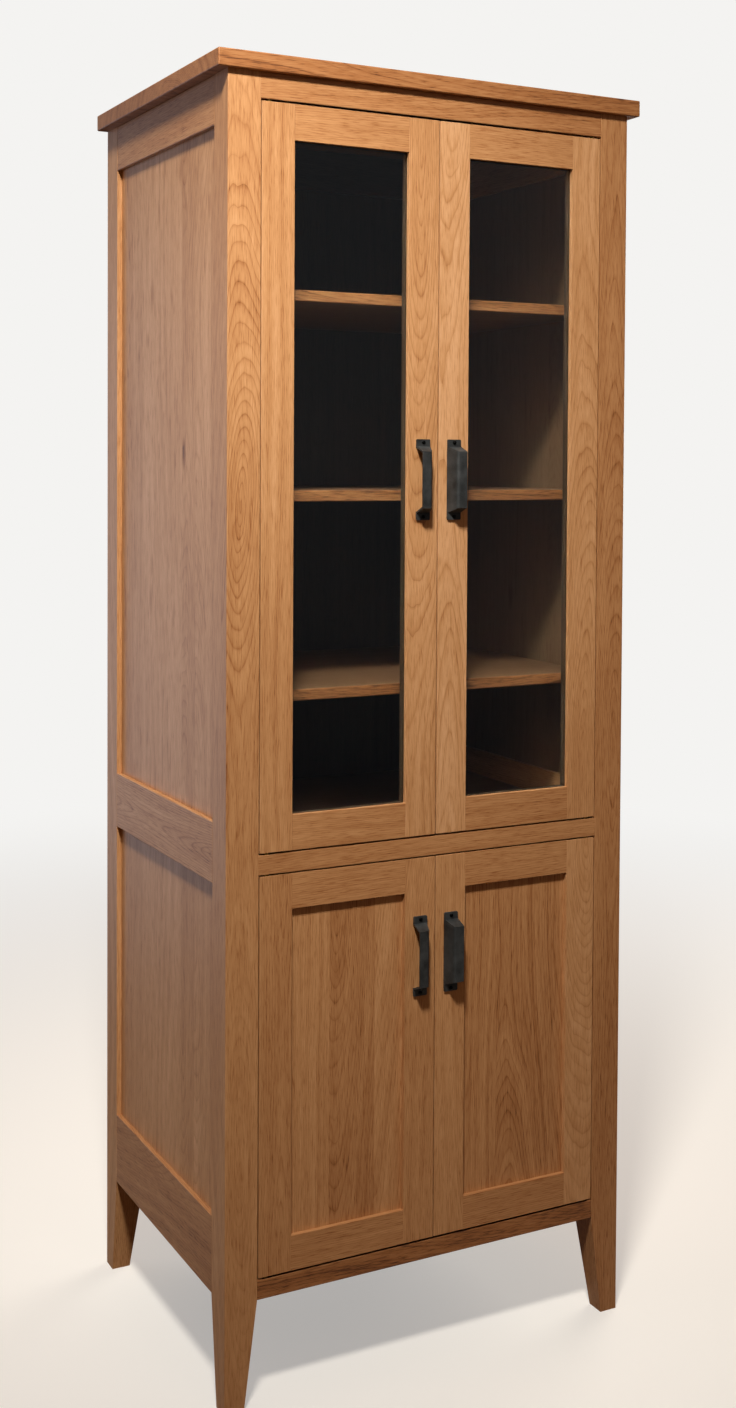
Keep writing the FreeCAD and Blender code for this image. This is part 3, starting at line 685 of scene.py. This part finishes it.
def addLamp(name, lamp):
    light = bpy.data.lights.new(name, "AREA")
    light.shape = "DISK"
    light.size = lamp["size"]
    light.energy = lamp["power"]
    light.color = linear(lamp["colour"])[:3]
    light.spread = radians(lamp["spread"])
    holder = bpy.data.objects.new(name, light)
    holder.location = lamp["place"]
    holder.rotation_euler = (Vector(lamp["aim"]) - Vector(lamp["place"])).to_track_quat("-Z", "Y").to_euler()
    bpy.context.scene.collection.objects.link(holder)


addLamp("keyLamp", room["key"])
addLamp("windowLight", room["window"])
addLamp("fillLight", room["fill"])

world = bpy.data.worlds.new("softRoom")
bpy.context.scene.world = world
world.use_nodes = True
world.node_tree.nodes.clear()
tree = world.node_tree
way = addNode(tree, "ShaderNodeTexCoord").outputs["Generated"]
upward = addNode(tree, "ShaderNodeSeparateXYZ", {0: way}).outputs[2]
start, end = room["horizon"]
rise = addNode(tree, "ShaderNodeMapRange", {"Value": upward, "From Min": start, "From Max": end},
               interpolation_type="SMOOTHSTEP")
skyColour = addNode(tree, "ShaderNodeValToRGB", {0: rise}, stops=room["mirrored"])
diffuse = addNode(tree, "ShaderNodeLightPath").outputs["Is Diffuse Ray"]
skyColour = addNode(tree, "ShaderNodeMix", {0: diffuse, 6: skyColour, 7: linear(room["skyColour"])},
                    data_type="RGBA").outputs[2]
skyLight = addNode(tree, "ShaderNodeBackground", {"Color": skyColour, "Strength": room["sky"]})
backdrop = addNode(tree, "ShaderNodeBackground", {"Color": linear(room["backdrop"]), "Strength": 1.0})
seen = addNode(tree, "ShaderNodeLightPath").outputs["Is Camera Ray"]
both = addNode(tree, "ShaderNodeMixShader", {0: seen, 1: skyLight, 2: backdrop})
addNode(tree, "ShaderNodeOutputWorld", {"Surface": both})

deselectAll()
bpy.ops.mesh.primitive_plane_add(size=room["floorSize"], location=(0, 0, 0))
floor = bpy.context.object
floor.name = "floor"
material, tree = newMaterial("paleFloor")
matt = addNode(tree, "ShaderNodeBsdfDiffuse", {"Color": linear(room["floor"])})
dim = addNode(tree, "ShaderNodeBsdfDiffuse", {"Color": linear(room["bounce"])})
here = addNode(tree, "ShaderNodeTexCoord").outputs["Object"]
away = addNode(tree, "ShaderNodeVectorMath", {0: here}, operation="LENGTH").outputs["Value"]
glow = addNode(tree, "ShaderNodeEmission", {"Color": linear(room["backdrop"]), "Strength": room["floorGlow"]})
lit = addNode(tree, "ShaderNodeAddShader", {0: matt, 1: glow})
far = addNode(tree, "ShaderNodeEmission", {"Color": linear(room["backdrop"]), "Strength": 1.0})
start, end = room["floorFade"]
farOff = addNode(tree, "ShaderNodeMapRange", {"Value": away, "From Min": start, "From Max": end},
                 interpolation_type="SMOOTHSTEP")
shown = addNode(tree, "ShaderNodeMixShader", {0: farOff, 1: lit, 2: far})    # the floor meets the backdrop
seen = addNode(tree, "ShaderNodeLightPath").outputs["Is Camera Ray"]
clear = addNode(tree, "ShaderNodeBsdfTransparent")
glossy = addNode(tree, "ShaderNodeLightPath").outputs["Is Glossy Ray"]
mirrored = addNode(tree, "ShaderNodeBsdfDiffuse", {"Color": linear(room["mirroredFloor"])})
near = addNode(tree, "ShaderNodeMixShader", {0: glossy, 1: dim, 2: mirrored})
start, end = room["bounceFade"]
gone = addNode(tree, "ShaderNodeMapRange", {"Value": away, "From Min": start, "From Max": end},
               interpolation_type="SMOOTHSTEP")
fading = addNode(tree, "ShaderNodeMixShader", {0: gone, 1: near, 2: clear})
surface = addNode(tree, "ShaderNodeMixShader", {0: seen, 1: fading, 2: shown})
addNode(tree, "ShaderNodeOutputMaterial", {"Surface": surface})
floor.data.materials.append(material)
bpy.context.scene.view_settings.view_transform = "Standard"

# the camera, at eye height in front of the left corner
eye = {
    "place": (-1.2387, -2.4011, 1.3558),
    "turn": (radians(88.3), radians(-0.3), radians(-27.5)),
    "lens": 42.52,
    "shift": -0.1354,
}
view = bpy.data.cameras.new("camera")
view.lens = eye["lens"]
view.sensor_width = 36
view.shift_y = eye["shift"]
camera = bpy.data.objects.new("camera", view)
camera.location = eye["place"]
camera.rotation_euler = eye["turn"]
bpy.context.scene.collection.objects.link(camera)
bpy.context.scene.camera = camera
print("room and camera done")
